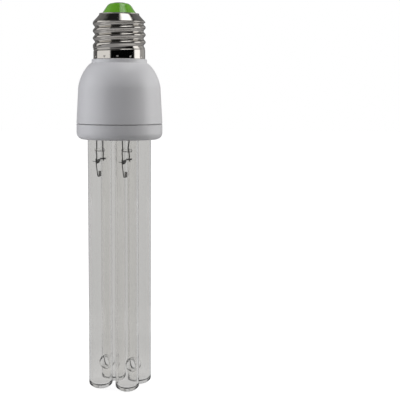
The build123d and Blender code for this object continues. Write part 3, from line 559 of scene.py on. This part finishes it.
def wireAlong(points, radius, sides, reference):
    # round wire: at every point a circle in the plane of (tangent x reference) and its cross with the tangent
    tangent = np.gradient(points, axis=0)
    tangent /= np.linalg.norm(tangent, axis=1, keepdims=True)
    across = np.cross(tangent, reference)
    across /= np.linalg.norm(across, axis=1, keepdims=True)
    over = np.cross(across, tangent)
    phi = fullTurn(sides)
    ring = across[:, None] * np.cos(phi)[None, :, None] + over[:, None] * np.sin(phi)[None, :, None]
    body = points[:, None] + radius * ring
    # both ends close on their middle points
    ends = [np.repeat(points[k][None, None], sides, axis=1) for k in (0, -1)]
    verts = np.concatenate([ends[0], body, ends[1]])
    return verts.reshape(-1, 3), gridFaces(len(verts), sides)


def coilPath(k):
    # a helix round a line that falls to the left lead: wide between the grips, nearly straight outside them
    x = np.linspace(k["left"], k["right"], k["samples"])
    (low, high), (fadeIn, fadeOut) = k["grip"], k["gripFade"]
    body = smooth((x - low) / fadeIn) * smooth((high - x) / fadeOut)
    speed = k["loose"] + body
    spin = 2 * np.pi * k["turns"] * np.cumsum(speed) / np.sum(speed)
    start, end = k["slope"]
    fall = smooth((x - start) / (end - start))
    z = k["leftHeight"] + (k["rightHeight"] - k["leftHeight"]) * fall - k["sag"] * body
    grow = k["radius"] * (k["tail"] + body)
    return np.stack([x, k["flatness"] * grow * np.cos(spin) - k["out"], z + grow * np.sin(spin)], -1)


def clampPath(k):
    # short straight bar at the coil's right end, a little askew
    middle = np.array([k["across"], -k["out"], k["height"]])
    reach = np.array([k["length"] / 2, -k["skew"], k["rise"]])
    return np.linspace(middle - reach, middle + reach, k["samples"])


def softPath(corners, count):
    # straight runs between corners, rounded by a quadratic curve through the middle one
    a, b, c = (np.array(q, float) for q in corners)
    t = np.linspace(0, 1, count)[:, None]
    return (1 - t) ** 2 * a + 2 * t * (1 - t) * b + t**2 * c


def flagPath(f):
    # the wire hangs down in a soft bend and ends in a small hook
    hang = softPath([(x, -f["out"], z) for x, z in (f["top"], f["bend"], f["end"])], f["hangSamples"])
    hook = softPath([hang[-1], *(hang[-1] + step for step in f["hook"])], f["hookSamples"])
    return np.vstack([hang, hook[1:]])


def flagSheet(f):
    # thin cupped plate: across u and up v, its cup falls off with the square of u towards either side; the
    # two faces close round the edge
    u, v = np.meshgrid(np.linspace(-1, 1, f["columns"]), np.linspace(0, 1, f["rows"]))
    x = f["end"][0] + f["gap"] + f["width"] * (u + 1) / 2
    z = f["low"] + f["height"] * v
    y = -f["out"] - f["cup"] * (1 - u**2)
    front = np.stack([x, y, z], -1)
    back = front + (0, f["sheet"], 0)
    loop = np.concatenate([front, back[:, ::-1]], axis=1)
    lid = np.repeat(loop.mean(axis=1, keepdims=True), loop.shape[1], axis=1)
    verts = np.concatenate([lid[:1], loop, lid[-1:]])
    verts[0, :, 2], verts[-1, :, 2] = f["low"], f["low"] + f["height"]
    return verts.reshape(-1, 3), gridFaces(len(verts), loop.shape[1])


def bentLead(k, shift, tip):
    # lead-in wire: its sideways shift is read off a list of (depth, shift) and evened out by a short
    # moving mean
    depth = np.linspace(k["top"], tip, k["samples"])
    offset = np.interp(depth, *np.array(shift).T)
    kernel = np.ones(k["even"]) / k["even"]
    padded = np.pad(offset, k["even"] // 2, mode="edge")
    across = np.convolve(padded, kernel, mode="valid")
    return np.stack([across, np.zeros_like(across), -depth], -1)


mountTurn = math.radians(glass["turn"] - 45)
outOfPlane = (0.0, 1.0, 0.0)
nearlyAcross = (1.0, 0.0, 0.02)
for number, tube in enumerate(("left", "front"), 1):
    tag = str(number)
    sideways = mountShift[number - 1]
    wound = wireAlong(coilPath(coil), coil["wire"], coil["sides"], nearlyAcross)
    hung = wireAlong(flagPath(flag), flag["wire"], flag["sides"], outOfPlane)
    held = wireAlong(clampPath(clamp), clamp["radius"], clamp["sides"], outOfPlane)
    pieces = [
        ("woundCoil" + tag, wound, "tungsten", ["filament_coil_" + tag], sideways),
        ("flagWire" + tag, hung, "lead_wire", ["flag_wire_" + tag], sideways),
        ("coilClamp" + tag, held, "lead_wire", [], sideways),
        ("flagPlate" + tag, flagSheet(flag), "amalgam", ["amalgam_flag_" + tag], sideways),
    ]
    for side in (2 * number - 1, 2 * number):
        tip, shift = leadShifts[side - 1]
        bent = wireAlong(bentLead(lead, shift, tip), lead["radius"], lead["sides"], outOfPlane)
        pieces.append(("bentLead" + str(side), bent, "lead_wire", ["lead_wire_" + str(side)], 0.0))
    for name, (verts, faces), finish, nodes, moved in pieces:
        verts = turned(verts + (moved, 0, 0), mountTurn, tubePlaces[tube]) * mm
        place(buildMesh(name, verts, faces), materials[finish], finish, *nodes)
print("stage: electrode mounts")


# Camera, light and floor

cameraSpec = {
    "distance": 515.8, "height": -13.69, "yaw": 4.56, "pitch": 6.37, "roll": 0.32,
    "focal": 1011.6, "picture": 400, "sensor": 36,        # lens and picture width in pixels, sensor in mm
}


def makeCamera(c):
    # looks along +Y, turned right by yaw, down by pitch and then rolled about its own axis
    yaw, pitch, roll = (math.radians(c[k]) for k in ("yaw", "pitch", "roll"))
    forward = Vector((math.sin(yaw) * math.cos(pitch), math.cos(yaw) * math.cos(pitch), -math.sin(pitch)))
    level = Vector((math.cos(yaw), -math.sin(yaw), 0))
    rise = level.cross(forward)
    right = level * math.cos(roll) + rise * math.sin(roll)
    up = right.cross(forward)
    data = bpy.data.cameras.new("camera")
    data.sensor_width = c["sensor"]
    data.lens = c["focal"] * c["sensor"] / c["picture"]
    data.clip_start, data.clip_end = 0.01, 50
    camera = bpy.data.objects.new("camera", data)
    bpy.context.scene.collection.objects.link(camera)
    turn = Matrix((right, up, -forward)).transposed().to_4x4()
    camera.matrix_world = Matrix.Translation((0, -c["distance"] * mm, c["height"] * mm)) @ turn
    bpy.context.scene.camera = camera


makeCamera(cameraSpec)

# Azimuths in degrees, seen from above: 0 is behind the camera, positive to its right. Panels and band are
# given as (from, to, strength), tall as (level up to this height, dim from this one, share left there),
# the top panel as (from this far right, from this height, strength). Heights and widths are parts of a
# unit direction.
worldSpec = {
    "front": 0.002, "back": 0.2, "backFrom": (100, 150),
    "left": (-116, -41, 1.06), "right": (71, 105, 1.65), "far": (105, 150, 0.5), "soft": 4.0,
    "tall": (0.4, 0.55, 0.06), "band": (0.45, 0.8, 0.17), "bandSoft": 0.05,
    "top": (0.06, 0.87, 1.9), "topGrey": 0.02, "topSoft": (0.1, 0.03),
    "through": 0.56, "throughTall": (0.3, 0.6, 0.12),
    "fill": 0.018, "sideFill": 0.55, "sideFrom": (0.3, 1.0),
}
# Softboxes in metres and watts
boxes = {
    "leftBox": {"azimuth": -80, "height": 0.0, "away": 0.9, "size": (0.85, 1.3), "power": 11.2,
                "color": (0.94, 0.95, 1.0)},
    "rightBox": {"azimuth": 97, "height": 0.0, "away": 0.9, "size": (0.65, 1.3), "power": 8.4,
                 "color": (1.0, 0.995, 0.985)},
    "topBox": {"azimuth": 60, "height": 0.9, "away": 0.3, "size": (0.4, 0.4), "power": 4.4,
               "color": (0.97, 0.97, 1)},
}
aimHeight = -0.07        # middle of the lamp, which the boxes face
# Ramps over the distance from the lamp: from, to, and the level at either end
floorSpec = {
    "height": -0.169, "reach": 3.0, "tone": 0.42, "rough": 0.9, "lift": (0.3, 1.2, 0.9, 1),
    "ringIn": (0.11, 0.13, 0.03, 0.3), "ringOut": (0.18, 0.21, 1, 0.1),
    "seen": (0.05, 1.6, 0.54, 0.57), "seenNear": (0.02, 0.1, 0.06, 0),
}


def rampNode(tree, value, low, high, start, end):
    node = tree.nodes.new("ShaderNodeMapRange")
    node.interpolation_type = "SMOOTHSTEP"
    for label, number in (("From Min", low), ("From Max", high), ("To Min", start), ("To Max", end)):
        node.inputs[label].default_value = number
    tree.links.new(value, node.inputs["Value"])
    return node.outputs["Result"]


def windowNode(tree, value, low, high, level, soft):
    # level between low and high, with soft edges, and nothing outside
    up = rampNode(tree, value, low - soft, low + soft, 0, level)
    down = rampNode(tree, value, high - soft, high + soft, 1, 0)
    return mathNode(tree, "MULTIPLY", up, down)


def mirrorRay(tree, rays):
    # a ray refracted by clear glass counts as glossy too, so it is taken off here
    return mathNode(tree, "SUBTRACT", rays.outputs["Is Glossy Ray"], rays.outputs["Is Transmission Ray"],
                    clamp=True)


def brightest(tree, first, *others):
    for other in others:
        first = mathNode(tree, "MAXIMUM", first, other)
    return first


def makeWorld(w):
    # the room as the metal and the glass see it: dark behind the camera, with a bright panel at either side
    # and one above
    world = bpy.data.worlds.new("studio")
    bpy.context.scene.world = world
    world.use_nodes = True
    tree = world.node_tree
    background = tree.nodes["Background"]
    background.inputs["Color"].default_value = (1, 1, 1, 1)
    rays = tree.nodes.new("ShaderNodeLightPath")
    coord = tree.nodes.new("ShaderNodeTexCoord")
    split = tree.nodes.new("ShaderNodeSeparateXYZ")
    tree.links.new(coord.outputs["Generated"], split.inputs[0])
    x, y, z = (split.outputs[axis] for axis in "XYZ")
    azimuth = mathNode(tree, "ARCTAN2", x, mathNode(tree, "MULTIPLY", y, -1))
    azimuth = mathNode(tree, "MULTIPLY", azimuth, math.degrees(1))
    steep = mathNode(tree, "ABSOLUTE", z)
    room = rampNode(tree, mathNode(tree, "ABSOLUTE", azimuth), *w["backFrom"], w["front"], w["back"])
    nearZ, farZ, dim = w["tall"]
    tall = rampNode(tree, steep, nearZ, farZ, 1, dim)
    for key in ("left", "right", "far"):
        panel = windowNode(tree, azimuth, *w[key], w["soft"])
        room = brightest(tree, room, mathNode(tree, "MULTIPLY", panel, tall))
    # a grey band high on the walls, all the way round
    room = brightest(tree, room, windowNode(tree, z, *w["band"], w["bandSoft"]))
    # the ceiling: dark at the left, a bright panel at the right
    lowX, lowZ, level = w["top"]
    softX, softZ = w["topSoft"]
    high = rampNode(tree, z, lowZ - softZ, lowZ + softZ, 0, 1)
    rightward = rampNode(tree, x, lowX - softX, lowX + softX, w["topGrey"], level)
    lid = mathNode(tree, "MULTIPLY", rightward, high)
    walls = mathNode(tree, "MULTIPLY", room, mathNode(tree, "SUBTRACT", 1, high))
    mirrored = mathNode(tree, "MULTIPLY", mirrorRay(tree, rays), mathNode(tree, "ADD", walls, lid))
    # through the glass: an even grey that darkens far up and far down
    nearZ, farZ, dim = w["throughTall"]
    behind = rampNode(tree, steep, nearZ, farZ, w["through"], w["through"] * dim)
    through = mathNode(tree, "MULTIPLY", rays.outputs["Is Transmission Ray"], behind)
    # the light that this room gives comes mostly from its sides
    sideways = mathNode(tree, "ABSOLUTE", x)
    sideways = rampNode(tree, sideways, *w["sideFrom"], w["fill"], w["fill"] + w["sideFill"])
    diffuse = mathNode(tree, "MULTIPLY", rays.outputs["Is Diffuse Ray"], sideways)
    strength = brightest(tree, rays.outputs["Is Camera Ray"], mirrored, through, diffuse)
    tree.links.new(strength, background.inputs["Strength"])


def makeBox(name, b):
    data = bpy.data.lights.new(name, "AREA")
    data.shape = "RECTANGLE"
    data.size, data.size_y = b["size"]
    data.energy = b["power"]
    data.color = b["color"]
    lamp = bpy.data.objects.new(name, data)
    bpy.context.scene.collection.objects.link(lamp)
    a = math.radians(b["azimuth"])
    spot = Vector((math.sin(a) * b["away"], -math.cos(a) * b["away"], b["height"] + aimHeight))
    lamp.location = spot
    aim = Vector((0, 0, aimHeight)) - spot
    lamp.rotation_euler = aim.to_track_quat("-Z", "Y").to_euler()
    lamp.visible_glossy = False        # the world's panels are what the metal and the glass mirror
    lamp.visible_transmission = False


def makeFloor(f):
    # pale floor: shaded as it is, and lifted to white for the camera so that only the shadow shows
    mesh = bpy.data.meshes.new("floor")
    r, z = f["reach"], f["height"]
    corners = [(-r, -r, z), (r, -r, z), (r, r, z), (-r, r, z)]
    mesh.from_pydata(corners, [], [(0, 1, 2, 3)])
    floor = bpy.data.objects.new("floor", mesh)
    bpy.context.scene.collection.objects.link(floor)
    material = bpy.data.materials.new("paleFloor")
    material.use_nodes = True
    tree = material.node_tree
    shader = tree.nodes["Principled BSDF"]
    shader.inputs["Roughness"].default_value = f["rough"]
    shader.inputs["Specular IOR Level"].default_value = 0
    shader.inputs["Emission Color"].default_value = (1, 1, 1, 1)
    rays = tree.nodes.new("ShaderNodeLightPath")
    coord = tree.nodes.new("ShaderNodeTexCoord")
    level = tree.nodes.new("ShaderNodeVectorMath")
    level.operation = "MULTIPLY"
    level.inputs[1].default_value = (1, 1, 0)
    tree.links.new(coord.outputs["Object"], level.inputs[0])
    length = tree.nodes.new("ShaderNodeVectorMath")
    length.operation = "LENGTH"
    tree.links.new(level.outputs["Vector"], length.inputs[0])
    away = length.outputs["Value"]
    # the metal mirrors a lit ring of the floor, and the glass shows it in an almost even grey
    inner, outer = (rampNode(tree, away, *f[key]) for key in ("ringIn", "ringOut"))
    ring = mathNode(tree, "MULTIPLY", inner, outer)
    seen = mathNode(tree, "ADD", rampNode(tree, away, *f["seen"]), rampNode(tree, away, *f["seenNear"]))
    mirrored = mathNode(tree, "MULTIPLY", mirrorRay(tree, rays), ring)
    through = mathNode(tree, "MULTIPLY", rays.outputs["Is Transmission Ray"], seen)
    shown = mathNode(tree, "MULTIPLY", rays.outputs["Is Camera Ray"], rampNode(tree, away, *f["lift"]))
    tree.links.new(brightest(tree, shown, mirrored, through), shader.inputs["Emission Strength"])
    # no lamp's light shows on it through the glass, so that grey is the same from every side
    direct = mathNode(tree, "SUBTRACT", 1, rays.outputs["Is Transmission Ray"])
    tree.links.new(mathNode(tree, "MULTIPLY", direct, f["tone"]), shader.inputs["Base Color"])
    mesh.materials.append(material)


makeWorld(worldSpec)
for name, b in boxes.items():
    makeBox(name, b)
makeFloor(floorSpec)
bpy.context.scene.view_settings.view_transform = "Standard"
print("stage: camera and light set")
